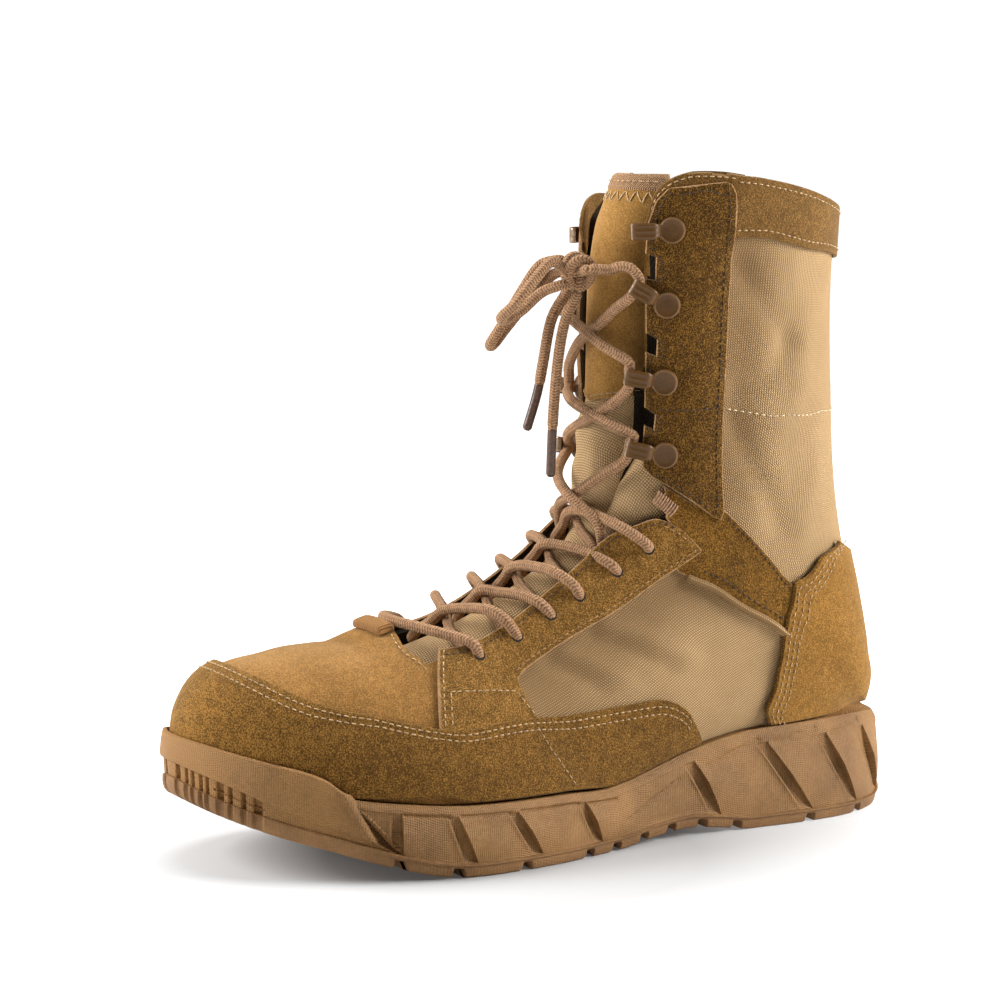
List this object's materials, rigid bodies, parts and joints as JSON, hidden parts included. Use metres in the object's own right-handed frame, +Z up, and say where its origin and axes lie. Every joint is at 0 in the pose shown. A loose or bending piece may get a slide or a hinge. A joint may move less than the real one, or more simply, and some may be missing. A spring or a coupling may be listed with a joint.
{
  "type": "tactical desert boot",
  "caption": "Tall lace-up left boot in tan suede and nylon, with speed hooks, a rubber toe bumper and a lugged rubber sole; it stands empty on its heel and forefoot.",
  "frame": {"origin": "on the floor under the middle of the boot's box", "axes": "the toe points along -Y, the outer side of this left boot is +X, +Z is up"},
  "size_m": [0.109, 0.3034, 0.2512],
  "materials": {
    "nylon": "woven nylon, matte",
    "suede": "rough suede, matte",
    "rubber": "moulded rubber, satin",
    "insole_foam": "cloth over foam",
    "hook_metal": "brown paint, bright on the edges",
    "lace_braid": "round braid",
    "webbing": "ribbed webbing"
  },
  "bodies": {
    "root": {"upper": "nylon", "tongue": "suede", "insole": "insole_foam", "midsole": "rubber", "outsole": "rubber", "toe_bumper": "rubber", "toe_rand": "suede", "heel_counter": "suede", "collar_band": "suede", "throat_loop": "webbing", "eyestay_outer": "suede", "eyestay_inner": "suede", "hook_flap_outer": "suede", "hook_flap_inner": "suede", "ankle_strap_outer": "suede", "ankle_strap_inner": "suede", "hook_outer_1": "hook_metal", "hook_outer_2": "hook_metal", "hook_outer_3": "hook_metal", "hook_outer_4": "hook_metal", "hook_inner_1": "hook_metal", "hook_inner_2": "hook_metal", "hook_inner_3": "hook_metal", "hook_inner_4": "hook_metal", "lace_crossings": "lace_braid", "lace_knot": "lace_braid", "lace_loop_outer": "lace_braid", "lace_loop_inner": "lace_braid", "lace_end_outer": "lace_braid", "lace_end_inner": "lace_braid"}
  },
  "joints": []
}
